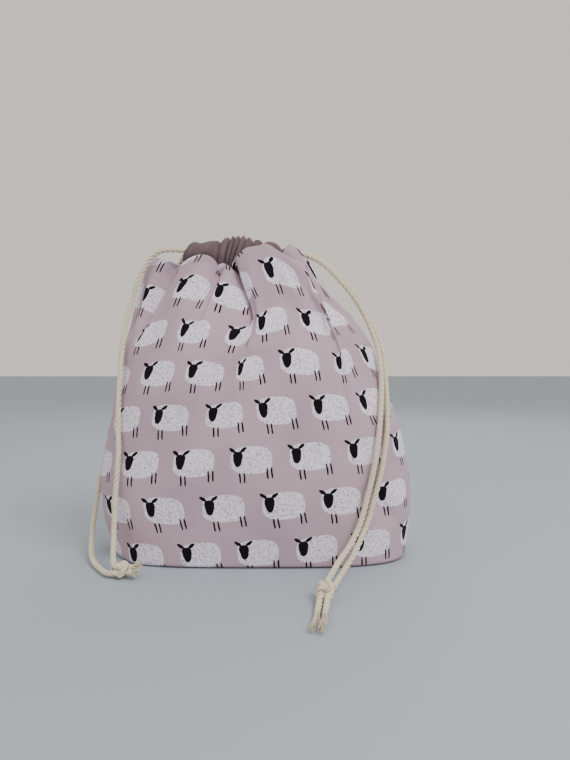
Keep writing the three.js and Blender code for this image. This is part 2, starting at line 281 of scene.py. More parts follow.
def outline(z, inset=0.0, count=COLUMNS):
    """Points round the body at a height, from the left seam along the front."""
    left, right, depth, power = (np.interp(z, BODY_LEVELS[:, 0], BODY_LEVELS[:, k])
                                 for k in range(1, 5))
    angle = np.linspace(np.pi, 3 * np.pi, 721)
    bend = 2 / power

    def rounded(value):
        return np.sign(value) * np.abs(value) ** bend

    x = (right - left) / 2 + ((left + right) / 2 - inset) * rounded(np.cos(angle))
    y = (depth - inset) * rounded(np.sin(angle))
    cut = 1 - float(ease(z / CORNER_CUT_TOP))
    over = np.maximum(0, -(x + CORNER_CUT_REACH) * 60 / 42 - y) * (x < -60) * (y < 0)
    y = y + 0.8 * cut * over
    half = len(angle) // 2
    front = resample(np.stack([x, y], 1)[:half + 1], count=count // 2 + 1)
    back = resample(np.stack([x, y], 1)[half:], count=count // 2 + 1)
    return np.vstack([front[:-1], back[:-1]])


def rim_points():
    """The rim of the whole bag, one point for each cloth column."""
    halves = []
    for points in (FRONT_RIM, BACK_RIM):
        halves.append(resample(smooth_curve(points, 0.5), count=COLUMNS // 2 + 1)[:-1])
    return np.vstack(halves)


def body_start():
    """The cloth before it settles: rows from the middle of the base up to the rim."""
    rows = []
    foot = outline(0)
    for k in range(BASE_ROWS):
        share = k / BASE_ROWS
        ring = foot * np.array([0.55 + 0.45 * share, max(share, 0.004)])
        rows.append(np.column_stack([ring, np.full(COLUMNS, 0.6)]))
    rim = rim_points()
    top = np.column_stack([outline(284), np.full(COLUMNS, 284.0)])
    for k in range(WALL_ROWS + 1):
        t = k / WALL_ROWS
        z = 284 * t
        ring = np.column_stack([outline(z), np.full(COLUMNS, max(z, 0.6))])
        pull = np.clip((t - 0.42) / 0.58, 0, 1) ** 1.35
        rows.append(ring + (rim - top) * pull)
    return np.array(rows)


def flat_reference():
    """The same grid on a cylinder as long round as the flat cloth is wide."""
    radius = PANEL_WIDTH / np.pi
    angle = np.pi + np.arange(COLUMNS) / COLUMNS * 2 * np.pi
    rows = []
    for k in range(BASE_ROWS + WALL_ROWS + 1):
        height = (k - BASE_ROWS) * WALL_HEIGHT / WALL_ROWS
        rows.append(np.stack([radius * np.cos(angle), radius * np.sin(angle),
                              np.full(COLUMNS, height)], 1))
    return np.array(rows)


STUFFING = [  # height, and how far inside the cloth's outline
    (2, 2.5), (20, 2.5), (45, 2.5), (75, 2.5), (112, 2.5), (152, 2.5), (175, 3.5),
    (192, 5), (208, 7), (224, 11), (238, 16), (248, 22), (252, 28),
]


def stuffing():
    """What fills the bag, a closed shape just inside the cloth, for the cloth to lie on."""
    rings = []
    for z, inset in STUFFING:
        ring = outline(z, inset, 96)
        # a hollow for the deep fold in the middle of the front to fall into
        deep = ease((z - 185) / 60) * np.exp(-((ring[:, 0] + 9) / 17) ** 2)
        ring[:, 1] *= 1 - 0.6 * deep
        rings.append(np.column_stack([ring, np.full(96, float(z))]))
    vertices = np.vstack([*rings, [[0, 0, 2]], [[0, 0, 253]]])
    faces = grid_faces(len(rings), 96, closed=True)
    last = (len(rings) - 1) * 96
    for k in range(96):
        n = (k + 1) % 96
        faces.append((len(vertices) - 2, n, k))
        faces.append((len(vertices) - 1, last + k, last + n))
    return add_mesh("stuffing", vertices, faces)


SETTLE_FRAMES = 30


def settle(start):
    """Lets the cloth find its folds with Blender's cloth solver, and gives the new points."""
    rows = len(start)
    cloth = add_mesh("cloth", start.reshape(-1, 3), grid_faces(rows, COLUMNS, closed=True))
    cloth.shape_key_add(name="Basis")
    flat = cloth.shape_key_add(name="flat")
    flat.data.foreach_set("co", (flat_reference().reshape(-1, 3) * MM).ravel())
    flat.value = 0
    held = cloth.vertex_groups.new(name="held")
    base = list(range((BASE_ROWS + 1) * COLUMNS))
    rim = list(range((rows - 1) * COLUMNS, rows * COLUMNS))
    held.add(base + rim, 1.0, "REPLACE")
    inside = stuffing()
    inside.modifiers.new("Collision", "COLLISION")
    inside.collision.thickness_outer = 0.001
    inside.collision.cloth_friction = 8
    modifier = cloth.modifiers.new("Cloth", "CLOTH")
    settings = modifier.settings
    settings.quality = 8
    settings.mass = 0.15
    settings.tension_stiffness = 30
    settings.compression_stiffness = 30
    settings.shear_stiffness = 12
    settings.bending_stiffness = 0.8
    settings.air_damping = 3
    settings.vertex_group_mass = "held"
    settings.rest_shape_key = flat
    modifier.collision_settings.collision_quality = 3
    modifier.collision_settings.distance_min = 0.0012
    modifier.collision_settings.use_self_collision = True
    modifier.collision_settings.self_distance_min = 0.0014
    modifier.collision_settings.self_friction = 5
    modifier.point_cache.frame_end = SETTLE_FRAMES
    scene = bpy.context.scene
    for frame_number in range(1, SETTLE_FRAMES + 1):
        scene.frame_set(frame_number)
    settled = cloth.evaluated_get(bpy.context.evaluated_depsgraph_get())
    points = np.zeros(len(settled.data.vertices) * 3)
    settled.data.vertices.foreach_get("co", points)
    scene.frame_set(1)
    bpy.data.objects.remove(cloth)
    bpy.data.objects.remove(inside)
    return points.reshape(rows, COLUMNS, 3) / MM


def smoothed(points, passes, strength=0.5):
    """Evens out the wall's small ripples, keeping its base and rim rows."""
    for _ in range(passes):
        near = (np.roll(points, 1, axis=1) + np.roll(points, -1, axis=1)) / 4
        near[1:-1] += (points[2:] + points[:-2]) / 4
        points[BASE_ROWS + 1:-1] += strength * (near - points)[BASE_ROWS + 1:-1]
    return points


def grid_normals(points):
    """Outward unit normals of the closed grid of cloth points."""
    around = np.roll(points, -1, axis=1) - np.roll(points, 1, axis=1)
    up = np.gradient(points, axis=0)
    normal = np.cross(around, up)
    size = np.linalg.norm(normal, axis=2, keepdims=True)
    return normal / np.maximum(size, 1e-9)


# ---- casings: two cloth channels along the rim, each with both cords inside ----------
# Share along the casing, then base x, y, z and top x, y, z (mm), for the front one.
FRONT_CASING = [
    (0.00, -69, -10.5, 278, -64.5, -10.5, 290),
    (0.04, -66, -12, 277, -61.5, -10.8, 294.8),
    (0.09, -61, -13, 276, -57, -11, 296.8),
    (0.15, -55, -13, 276, -51.5, -11, 295.2),
    (0.22, -47, -13, 276, -43, -11.5, 297.2),
    (0.28, -39, -12, 273, -35, -11.5, 298),
    (0.36, -33, -12, 269, -26, -12.5, 300.8),
    (0.46, -27, -12, 267, -18, -12.5, 302.2),
    (0.56, -21, -12, 265, -9, -12.5, 302),
    (0.64, -14, -12, 263, -2, -12, 299.5),
    (0.72, -3, -11, 264, 6, -11, 298),
    (0.80, 10, -10.5, 267, 14, -10.8, 297),
    (0.88, 21, -10.5, 270, 22.5, -10.8, 294),
    (0.97, 30, -10.5, 272, 29.5, -10.5, 289),
    (1.00, 32, -10.5, 272, 31, -10.5, 286.5),
]
BACK_CASING = [
    (0.00, -69, 10.5, 278, -64.5, 10.5, 290),
    (0.10, -61, 11.5, 277, -58, 11, 295),
    (0.30, -42, 12, 275, -40, 11, 296),
    (0.50, -20, 12, 272, -19, 11.5, 299),
    (0.70, 1, 12, 271, 1, 11, 297),
    (0.90, 22, 11, 271, 22, 10.5, 292),
    (1.00, 32, 10.5, 272, 31, 10.5, 287.5),
]
# Where the gathers pinch the casings, as shares along them.
FRONT_PINCHES = (0.30, 0.395, 0.455, 0.51, 0.57, 0.645, 0.74, 0.92)
BACK_PINCHES = (0.30, 0.37, 0.45, 0.51, 0.57, 0.66, 0.72, 0.82, 0.94)
CASING_COLUMNS = 260
CASING_RING = 44


def pinch_depth(share, pinches):
    """1 where the cloth is pinched, 0 at the crown of each fold and away from them."""
    depth = 0.12 * (0.5 + 0.5 * np.sin(share * 26))
    for low, high in zip(pinches, pinches[1:]):
        within = (share >= low) & (share <= high)
        crown = np.sin(np.pi * (share[within] - low) / (high - low))
        depth[within] = 1 - crown ** 0.7
    for end, sign in ((pinches[0], -1), (pinches[-1], 1)):
        away = sign * (share - end)
        beyond = (away >= 0) & (away < 0.03)
        depth[beyond] = np.maximum(depth[beyond], (1 - away[beyond] / 0.03) ** 1.5)
    return depth


CASING_HALF_WIDTH = 7.8
PINCH_IN = 3.9  # how much of that a pinch takes


def casing(name, control, side, pinches):
    """A gathered cloth channel: rings from base over the cords and back, along the rim."""
    share = np.linspace(0, 1, CASING_COLUMNS)
    fine = smooth_curve(control, spacing=0.4)
    base = np.stack([np.interp(share, fine[:, 0], fine[:, k]) for k in (1, 2, 3)], 1)
    top = np.stack([np.interp(share, fine[:, 0], fine[:, k]) for k in (4, 5, 6)], 1)
    turn = np.arange(CASING_RING) / CASING_RING * 2 * np.pi
    depth = pinch_depth(share, pinches)
    rings = []
    for b, t, d, p in zip(base, top, depth, share):
        middle = np.array([(b[0] + t[0]) / 2, side * CORD_Y, (b[2] + t[2]) / 2])
        half = (t - b) / 2
        half[1] = 0
        wide = CASING_HALF_WIDTH - PINCH_IN * d
        out = np.array([0.0, side, 0.0])
        ring = []
        for a in turn:
            rise, reach = math.cos(a), math.sin(a)
            narrow = 1 - 0.5 * max(0.0, -rise - 0.2)
            belly = 1 + 0.14 * math.sin(9 * p * math.pi + 2 * a)
            drop = np.array([0.0, 0.0, 3.6 * d * max(rise, 0)])
            ring.append(middle + half * rise - drop + out * wide * narrow * belly * reach)
        rings.append(ring)
    rings = np.array(rings)
    across = np.tile(turn / (2 * np.pi) * 2 * CASING_HEIGHT, (CASING_COLUMNS, 1))
    along = np.repeat(share[:, None] * CASING_FLAT, CASING_RING, axis=1)
    uv = np.stack([along, across], 2).reshape(-1, 2) * MM
    piece = add_mesh(name, rings.reshape(-1, 3), grid_faces(CASING_COLUMNS, CASING_RING, True), uv)
    thicken(piece, 0.7)
    return piece


def thicken(piece, thickness, offset=-1.0, subdivide=0):
    """Gives a cloth surface its thickness, and makes the result the piece's own mesh."""
    if subdivide:
        modifier = piece.modifiers.new("smooth", "SUBSURF")
        modifier.levels = modifier.render_levels = subdivide
    modifier = piece.modifiers.new("thick", "SOLIDIFY")
    modifier.thickness = thickness * MM
    modifier.offset = offset
    apply_modifiers(piece)


def apply_modifiers(piece):
    graph = bpy.context.evaluated_depsgraph_get()
    mesh = bpy.data.meshes.new_from_object(piece.evaluated_get(graph))
    old = piece.data
    piece.modifiers.clear()
    piece.data = mesh
    bpy.data.meshes.remove(old)
    mesh.name = piece.name


# ---- materials ---------------------------------------------------------------------
class Value:
    """A shader socket that can be used in ordinary arithmetic."""

    def __init__(self, tree, socket):
        self.tree = tree
        self.socket = socket

    def do(self, operation, *others):
        node = self.tree.nodes.new("ShaderNodeMath")
        node.operation = operation
        for slot, other in zip(node.inputs, (self, *others)):
            connect(self.tree, other, slot)
        return Value(self.tree, node.outputs[0])

    def __add__(self, other):
        return self.do("ADD", other)

    def __sub__(self, other):
        return self.do("SUBTRACT", other)

    def __mul__(self, other):
        return self.do("MULTIPLY", other)

    def __truediv__(self, other):
        return self.do("DIVIDE", other)

    def power(self, other):
        return self.do("ABSOLUTE").do("POWER", other)

    def step(self, low, high):
        """0 below low, 1 above high, and smooth between."""
        node = self.tree.nodes.new("ShaderNodeMapRange")
        node.interpolation_type = "SMOOTHSTEP"
        connect(self.tree, self, node.inputs["Value"])
        node.inputs["From Min"].default_value = low
        node.inputs["From Max"].default_value = high
        return Value(self.tree, node.outputs["Result"])


def connect(tree, value, slot):
    if isinstance(value, Value):
        tree.links.new(value.socket, slot)
    else:
        slot.default_value = value


def srgb(red, green, blue):
    """A linear colour from 0-255 values."""
    def linear(c):
        c /= 255
        return c / 12.92 if c <= 0.04045 else ((c + 0.055) / 1.055) ** 2.4
    return (linear(red), linear(green), linear(blue), 1.0)


class Cloth:
    """A material being built: a Principled shader and helpers for its pattern."""

    def __init__(self, name, roughness, sheen):
        self.material = bpy.data.materials.new(name)
        self.material.use_nodes = True
        self.tree = self.material.node_tree
        self.shader = self.tree.nodes["Principled BSDF"]
        self.shader.inputs["Roughness"].default_value = roughness
        self.shader.inputs["Sheen Weight"].default_value = sheen
        self.shader.inputs["Sheen Roughness"].default_value = 0.5
        self.shader.inputs["Specular IOR Level"].default_value = 0.12

    def node(self, kind, **inputs):
        node = self.tree.nodes.new(kind)
        for name, value in inputs.items():
            connect(self.tree, value, node.inputs[name.replace("_", " ")])
        return node

    def cloth_mm(self):
        """Flat-cloth coordinates in millimetres."""
        split = self.node("ShaderNodeSeparateXYZ")
        self.tree.links.new(self.node("ShaderNodeUVMap").outputs[0], split.inputs[0])
        u = Value(self.tree, split.outputs[0])
        v = Value(self.tree, split.outputs[1])
        return u * 1000.0, v * 1000.0

    def vector(self, x, y, z=0.0):
        node = self.node("ShaderNodeCombineXYZ", X=x, Y=y, Z=z)
        return Value(self.tree, node.outputs[0])

    def noise(self, where, scale, detail=3.0):
        node = self.node("ShaderNodeTexNoise", Vector=where, Scale=scale, Detail=detail)
        return Value(self.tree, node.outputs[0])

    def mix(self, share, first, second):
        node = self.tree.nodes.new("ShaderNodeMix")
        node.data_type = "RGBA"
        connect(self.tree, share, node.inputs["Factor"])
        for value, slot in ((first, node.inputs[6]), (second, node.inputs[7])):
            connect(self.tree, value, slot)
        return Value(self.tree, node.outputs[2])

    def bump(self, height, distance, strength=1.0):
        node = self.node("ShaderNodeBump", Height=height, Distance=distance, Strength=strength)
        self.tree.links.new(node.outputs[0], self.shader.inputs["Normal"])

    def colour(self, value):
        connect(self.tree, value, self.shader.inputs["Base Color"])


def weave(u, v, thread):
    """Height of a plain weave, from crossing threads of that width in millimetres."""
    turn = math.pi / thread
    return (u * turn).do("SINE").power(2.0) + (v * turn).do("SINE").power(2.0)


def inside(x, y, centre, half, tilt=0.0, power=2.0):
    """Below 1 inside an ellipse or rounded box, turned by tilt radians."""
    dx = x - centre[0]
    dy = y - centre[1]
    c, s = math.cos(tilt), math.sin(tilt)
    return ((dx * c + dy * s) / half[0]).power(power) + ((dy * c - dx * s) / half[1]).power(power)


PRINT_ACROSS = 52.0  # distance between sheep in a row (mm)
PRINT_UP = 43.0  # distance between rows
DARK = srgb(20, 11, 19)


def sheep(cloth, u, v):
    """Shares of the body, the dark parts and the speckles of the sheep print."""
    v = v - (u - 184) * 0.06  # the cloth was cut a little off the grain
    row = ((v + 12) / PRINT_UP).do("FLOOR")
    odd = (row * 0.5).do("FRACT") * 2.0
    place = (u - 3) / PRINT_ACROSS + odd * 0.5
    column = place.do("FLOOR")
    own = cloth.node("ShaderNodeTexWhiteNoise", Vector=cloth.vector(column, row))
    luck = Value(cloth.tree, own.outputs[0])
    wobble = cloth.noise(cloth.vector(u, v), 0.16, 2.0) - 0.5
    fine = cloth.noise(cloth.vector(v, u, 7.0), 0.45, 2.0) - 0.5
    x = place.do("FRACT") * PRINT_ACROSS - (PRINT_ACROSS / 2) + wobble * 1.4 + luck * 2 - 1
    y = ((v + 12) / PRINT_UP).do("FRACT") * PRINT_UP - (PRINT_UP / 2) + fine * 0.8 - 1.5
    slope = y + x * (luck * 0.12 - 0.05)
    body = inside(x, slope, (-1.0, 4.6), (18.4, 12.5), power=3.1)
    chin = x * 0.6 + slope
    body = body + (chin + 16.0).step(3.0, -3.0)
    head_y = y - 6.0
    head = ((x + 13.0) / (head_y * 0.17 + 4.1)).power(2.4) + (head_y / 7.0).power(3.0)
    left_ear = inside(x, y, (-18.0, 14.3), (3.7, 1.55), tilt=-0.62)
    right_ear = inside(x, y, (-8.2, 14.3), (3.7, 1.55), tilt=0.62)
    dark = head.do("MINIMUM", left_ear).do("MINIMUM", right_ear)
    for foot, low, high in ((-11.5, -16.0, -6.5), (-7.6, -16.0, -6.5),
                            (12.6, -13.5, -3.0), (16.4, -13.0, -3.0)):
        middle = (low + high) / 2
        leg = inside(x + y * 0.07, y, (foot, middle), (0.8, (high - low) / 2), power=4.0)
        dark = dark.do("MINIMUM", leg)
    marks = cloth.node("ShaderNodeTexVoronoi", Vector=cloth.vector(u, v * 1.25), Scale=0.62)
    dots = Value(cloth.tree, marks.outputs["Distance"]).step(0.44, 0.26)
    thin = cloth.noise(cloth.vector(u, v, 3.0), 0.33, 3.0).step(0.38, 0.50)
    return body.step(1.07, 0.93), dark.step(1.12, 0.88), dots * thin


def printed_cotton():
    cloth = Cloth("printed cotton", roughness=0.9, sheen=0.04)
    u, v = cloth.cloth_mm()
    flat = cloth.vector(u, v)
    shade = cloth.noise(flat, 0.012, 3.0)
    ground = cloth.mix(shade.step(0.3, 0.7), srgb(184, 160, 172), srgb(196, 172, 184))
    body, dark, dots = sheep(cloth, u, v)
    wool = cloth.mix(dots * 0.8, srgb(244, 236, 252), srgb(84, 72, 96))
    slub = cloth.noise(cloth.vector(u * 0.25, v * 2.0), 0.8, 2.0)
    colour = cloth.mix(body * 0.93, ground, wool)
    colour = cloth.mix(slub.step(0.35, 0.75) * 0.10, colour, srgb(160, 140, 148))
    cloth.colour(cloth.mix(dark, colour, DARK))
    rumple = cloth.noise(cloth.vector(u, v * 0.6, 4.0), 0.05, 2.0)
    cloth.bump(weave(u, v, 0.42) * 0.5 + slub * 0.8 + rumple * 9.0, 0.00012, 0.5)
    return cloth.material


def plain_cotton(name, dark, light, thread):
    """A plain woven cotton with slubs and a soft change of shade."""
    cloth = Cloth(name, roughness=0.92, sheen=0.06)
    u, v = cloth.cloth_mm()
    shade = cloth.noise(cloth.vector(u, v), 0.05, 3.0)
    slub = cloth.noise(cloth.vector(u * 0.3, v * 2.2), 0.9, 2.0)
    colour = cloth.mix(shade.step(0.3, 0.7), dark, light)
    cloth.colour(cloth.mix(slub.step(0.4, 0.8) * 0.2, colour, dark))
    crease = cloth.noise(cloth.vector(u * 0.35, v * 0.09), 0.35, 2.0)
    cloth.bump(weave(u, v, thread) + slub + crease * 4.0, 0.00016, 0.7)
    return cloth.material


def cotton_cord():
    """Twisted cream cotton: fibres run along the three strands, with painted shade darkening the grooves
    between them.
    """
    cloth = Cloth("cotton cord", roughness=0.85, sheen=0.1)
    u, v = cloth.cloth_mm()
    across = v / 1000 - u / ROPE_LAY
    fibres = cloth.noise(cloth.vector(u * 0.05, across * 9), 2.2, 4.0)
    fluff = cloth.noise(cloth.vector(u, v * 0.016), 0.9, 3.0)
    colour = cloth.mix(fibres.step(0.3, 0.75), srgb(214, 200, 172), srgb(240, 231, 212))
    colour = cloth.mix(fluff.step(0.5, 0.8) * 0.3, colour, srgb(218, 204, 178))
    # painted shade: the grooves between the three strands are darkened towards srgb(150, 132, 104), as if
    # shade fell in them
    painted_groove_shade = (across * (3 * math.pi)).do("COSINE").do("ABSOLUTE").step(0.5, 0.0)
    cloth.colour(cloth.mix(painted_groove_shade * 0.55, colour, srgb(150, 132, 104)))
    cloth.bump(fibres + fluff * 0.5, 0.0004, 0.6)
    return cloth.material


def floor_surface():
    surface = Cloth("pale floor", roughness=0.7, sheen=0.0)
    surface.colour(srgb(167, 178, 187))
    return surface.material


MATERIALS = {
    "printed_cotton": printed_cotton(),
    "taupe_cotton": plain_cotton("taupe cotton", srgb(112, 92, 96), srgb(130, 110, 114), 0.5),
    "interfacing": plain_cotton("interfacing", srgb(216, 212, 204), srgb(230, 227, 220), 1.1),
    "cotton_cord": cotton_cord(),
}


def finish_piece(piece, slot, *nodes):
    """Gives a new piece the material of its slot, and hides the CAD nodes that it stands for."""
    piece.data.materials.clear()
    piece.data.materials.append(MATERIALS[slot])
    if nodes:
        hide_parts(*nodes)


# ---- how cloth and cord follow the joints ---------------------------------------------
def points_of(piece):
    """The vertices of a piece in millimetres."""
    flat = np.zeros(len(piece.data.vertices) * 3)
    piece.data.vertices.foreach_get("co", flat)
    return flat.reshape(-1, 3) / MM


def opening_share(x):
    """How far a point of the rim follows the opening mouth: not at the cord exits."""
    return ease((x + 68) / 34) * ease((31 - x) / 34)


def bend(piece, body, weights):
    """The piece follows the bag at weight 0 and the other body at weight 1."""
    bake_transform(piece, "bag", body, start=(0, 0, 0.19), end=(0, 0, 0.30))
    layer = piece.data.attributes["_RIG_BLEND"]
    layer.data.foreach_set("value", np.asarray(weights, np.float32))


# ---- the bag's cloth ------------------------------------------------------------------------
HALF = COLUMNS // 2
CURL_ROWS = 5  # rows past the rim's crest, turning in and down to the casing's seam
CASING_MARGIN = 34.0  # flat distance from a side seam to the end of a casing
SEAM_REACH = 15.0  # how far the cloth goes past the crest
EAR_REACH = 12.0  # and how much further at the ears, beyond the casings' ends
BACKING_ROWS = 46  # rows of the wall that the interfacing covers


def seam_line(rim):
    """Where each column's cloth ends, under the casing or just inside the rim."""
    front = np.array(FRONT_CASING)[:, :4]
    back = np.array(BACK_CASING)[:, :4]
    strip = PANEL_WIDTH - 2 * CASING_MARGIN
    ends = np.empty_like(rim)
    for k, point in enumerate(rim):
        flat = k * 2 * PANEL_WIDTH / COLUMNS
        if flat <= PANEL_WIDTH:
            share, table = (flat - CASING_MARGIN) / strip, front
        else:
            share, table = 1 - (flat - PANEL_WIDTH - CASING_MARGIN) / strip, back
        base = np.array([np.interp(share, table[:, 0], table[:, j]) for j in (1, 2, 3)])
        past = ease(max(-share, share - 1) / 0.04)
        base[2] -= 6 * past
        lean = base - point
        reach = np.linalg.norm(lean)
        ends[k] = point + lean * min(1.0, (SEAM_REACH + EAR_REACH * past) / max(reach, 1e-6))
        ends[k][2] = min(ends[k][2], point[2] - 3.5)
    return ends


# Soft creases on the front: points x, z, then how deep and how wide (mm).
CREASES = [
    ([(-74, 272), (-84, 255), (-95, 236), (-109, 207), (-116, 186)], 7.0, 5.0),
    ([(3, 193), (-3, 186), (-12, 177), (-23, 166), (-36, 152)], 2.4, 6.0),
    ([(107, 118), (104, 90), (97, 58), (86, 34)], 2.2, 7.0),
    ([(103, 74), (115, 58), (127, 43), (136, 30)], 3.2, 5.0),
]


def slackness(grid):
    """The slow waves of cloth that isn't quite taut (mm), fading out at the base and the rim."""
    turn = np.arange(COLUMNS) / COLUMNS * 2 * np.pi
    up = (np.arange(len(grid))[:, None] - BASE_ROWS) * WALL_HEIGHT / WALL_ROWS
    waves = 0.75 * np.sin(9 * turn + 1.3 * np.sin(up / 37)) * np.sin(up / 29 + 2 * turn)
    waves = waves + 0.55 * np.sin(up / 15 - 5 * turn + 0.8)
    return waves * ease(up / 40) * ease((290 - up) / 60)


def creased(grid):
    """Adds the slack waves, moves the centre fold over as it falls, and presses the creases in."""
    grid = grid + grid_normals(grid) * slackness(grid)[..., None]
    wall = grid[:, :HALF + 1]
    x, z = wall[..., 0], wall[..., 2]
    fade = ease((284 - z) / 30)
    wall[..., 0] += 8 * fade * np.exp(-((z - 225) / 26) ** 2) * np.exp(-((x + 2) / 26) ** 2)
    normal = grid_normals(grid)[:, :HALF + 1]
    for points, depth, width in CREASES:
        line = resample(np.array(points, float), spacing=2)
        gap = np.stack([x, z], 2)[:, :, None] - line
        near = np.argmin((gap ** 2).sum(-1), axis=2)
        offset = np.take_along_axis(gap, near[..., None, None], 2)[:, :, 0]
        distance = np.linalg.norm(offset, axis=2)
        left = offset[..., 0] < 0
        press = np.where(left, np.exp(-(distance / (2.2 * width)) ** 2),
                         np.exp(-(distance / (0.5 * width)) ** 2))
        along = near / (len(line) - 1)
        press *= ease(along / 0.15) * ease((1 - along) / 0.45)
        wall -= normal * (depth * press)[..., None]
    grid[:, :HALF + 1] = wall
    return grid


def with_curl(grid):
    """Adds the rows that turn in over the rim's crest."""
    rim = grid[-1]
    ends = seam_line(rim)
    extra = []
    for k in range(1, CURL_ROWS + 1):
        share = k / CURL_ROWS
        rise = np.array([0, 0, 2.2 * math.sin(math.pi * share)])
        extra.append(rim + (ends - rim) * share ** 1.2 + rise)
    return np.concatenate([grid, np.array(extra)])


def cloth_uv(rows):
    """Flat-cloth place of every grid point, in metres, running on past the seams."""
    across = np.arange(COLUMNS + 1) * 2 * PANEL_WIDTH / COLUMNS
    up = (np.arange(rows) - BASE_ROWS) * WALL_HEIGHT / WALL_ROWS
    u, v = np.meshgrid(across, up)
    return np.stack([u, v], 2) * MM


def half_of(grid, uv, which):
    """The front or back half of the closed grid, with its shared seam columns."""
    wide = np.concatenate([grid, grid[:, :1]], axis=1)
    part = slice(0, HALF + 1) if which == "front" else slice(HALF, COLUMNS + 1)
    return wide[:, part], uv[:, part]


def cloth_piece(name, grid, uv, thickness, subdivide):
    rows, columns = grid.shape[:2]
    piece = add_mesh(name, grid.reshape(-1, 3), grid_faces(rows, columns), uv.reshape(-1, 2))
    thicken(piece, thickness, subdivide=subdivide)
    return piece


def rim_share(grid):
    """Opening share by flat distance round the bag, taken from the rim."""
    rim = grid[BASE_ROWS + WALL_ROWS]
    share = opening_share(rim[:, 0])
    for _ in range(3):
        share = (np.roll(share, 1) + 2 * share + np.roll(share, -1)) / 4
    return np.append(share, share[0])


def piece_flat(piece):
    """Flat distance round the bag of every vertex of a cloth piece, from its UVs."""
    loops = np.zeros(len(piece.data.loops), int)
    piece.data.loops.foreach_get("vertex_index", loops)
    uv = np.zeros(len(loops) * 2)
    piece.data.uv_layers[0].data.foreach_get("uv", uv)
    flat = np.zeros(len(piece.data.vertices))
    flat[loops] = uv.reshape(-1, 2)[:, 0] / MM
    return flat


def room_inside(grid, normal):
    """Distance from every grid point, straight inwards, to the next cloth it would meet."""
    rows = len(grid)
    faces = grid_faces(rows, COLUMNS, closed=True)
    tree = BVHTree.FromPolygons(grid.reshape(-1, 3).tolist(), faces)
    room = np.full(rows * COLUMNS, 30.0)
    for k, (point, out) in enumerate(zip(grid.reshape(-1, 3), normal.reshape(-1, 3))):
        hit = tree.ray_cast(Vector(point - out * 0.05), Vector(-out), 30.0)
        if hit[0] is not None:
            room[k] = hit[3]
    room = room.reshape(rows, COLUMNS)
    for _ in range(2):
        room = np.minimum(room, (np.roll(room, 1, 1) + np.roll(room, -1, 1) + room) / 3)
    return room


def add_bag():
    start = body_start()
    grid = settle(start)
    grid = with_curl(creased(smoothed(grid, 2)))
    uv = cloth_uv(len(grid))
    shares = rim_share(grid)
    steps = np.arange(COLUMNS + 1) * 2 * PANEL_WIDTH / COLUMNS
    normal = grid_normals(grid)
    height = np.linspace(0, 1, len(grid))[:, None, None]
    depth = 3.2 - 2.2 * ease((height - 0.45) / 0.2)
    depth = np.minimum(depth, 0.42 * room_inside(grid, normal)[..., None])
    lining_grid = (grid - normal * depth)[:-CURL_ROWS]
    backing_grid = (grid - normal * (0.4 * depth + 0.25))[BASE_ROWS:BASE_ROWS + BACKING_ROWS]
    for which in ("front", "back"):
        mouth = which + "_mouth"
        part, part_uv = half_of(grid, uv, which)
        outer = cloth_piece("outer_cloth_" + which, part, part_uv, 0.4, 1)
        finish_piece(outer, "printed_cotton", f"outer_{which}_panel", f"outer_{which}_shoulder")
        part, part_uv = half_of(lining_grid, uv[:len(lining_grid)], which)
        lining = cloth_piece("lining_cloth_" + which, part, part_uv, 0.3, 0)
        finish_piece(lining, "taupe_cotton", f"lining_{which}_panel", f"lining_{which}_shoulder")
        part, part_uv = half_of(backing_grid, uv[BASE_ROWS:BASE_ROWS + BACKING_ROWS], which)
        backing = cloth_piece("interfacing_layer_" + which, part, part_uv, 0.4, 0)
        finish_piece(backing, "interfacing", "interfacing_" + which)
        for piece in (outer, lining, backing):
            flat = piece_flat(piece)
            share = np.interp(flat, steps, shares)
            rise = ease((points_of(piece)[:, 2] - HINGE_HEIGHT) / 80)
            bend(piece, mouth, rise * share)
    return grid


add_bag()


def add_casings():
    for side, which, control, pinches in ((-1, "front", FRONT_CASING, FRONT_PINCHES),
                                          (1, "back", BACK_CASING, BACK_PINCHES)):
        piece = casing("casing_ruffle_" + which, control, side, pinches)
        finish_piece(piece, "taupe_cotton", "casing_" + which)
        bend(piece, which + "_mouth", opening_share(points_of(piece)[:, 0]))


add_casings()


# ---- knots and tails -------------------------------------------------------------------------
def knot(name, centre, size, turn):
    """A tight overhand knot: the cord goes round itself in a closed three-lobed path."""
    t = np.linspace(0, 2 * np.pi, 220)
    x = (np.sin(t) + 2 * np.sin(2 * t)) / 3
    y = (np.cos(t) - 2 * np.cos(2 * t)) / 3
    z = -np.sin(3 * t)
    c, s = math.cos(turn), math.sin(turn)
    line = np.stack([(x * c - y * s) * (size[0] - 2.6), (x * s + y * c) * (size[1] - 2.6),
                     z * (size[2] - 2.7)], 1) + np.array(centre)
    return rope(name, line, CORD_DIAMETER * 1.04)


def join_meshes(name, parts):
    """One object from several meshes."""
    vertices, faces, uvs = [], [], []
    for part in parts:
        mesh = part.data
        offset = len(vertices)
        vertices += [v.co / MM for v in mesh.vertices]
        faces += [[offset + v for v in polygon.vertices] for polygon in mesh.polygons]
        loops = {loop.vertex_index: mesh.uv_layers[0].data[loop.index].uv[:]
                 for loop in mesh.loops}
        uvs += [loops[k] for k in range(len(mesh.vertices))]
        bpy.data.objects.remove(part)
    return add_mesh(name, np.array([v[:] for v in vertices]), faces, np.array(uvs))


THREAD_CLEARANCE = 0.55  # how high a thread's middle stays above the table


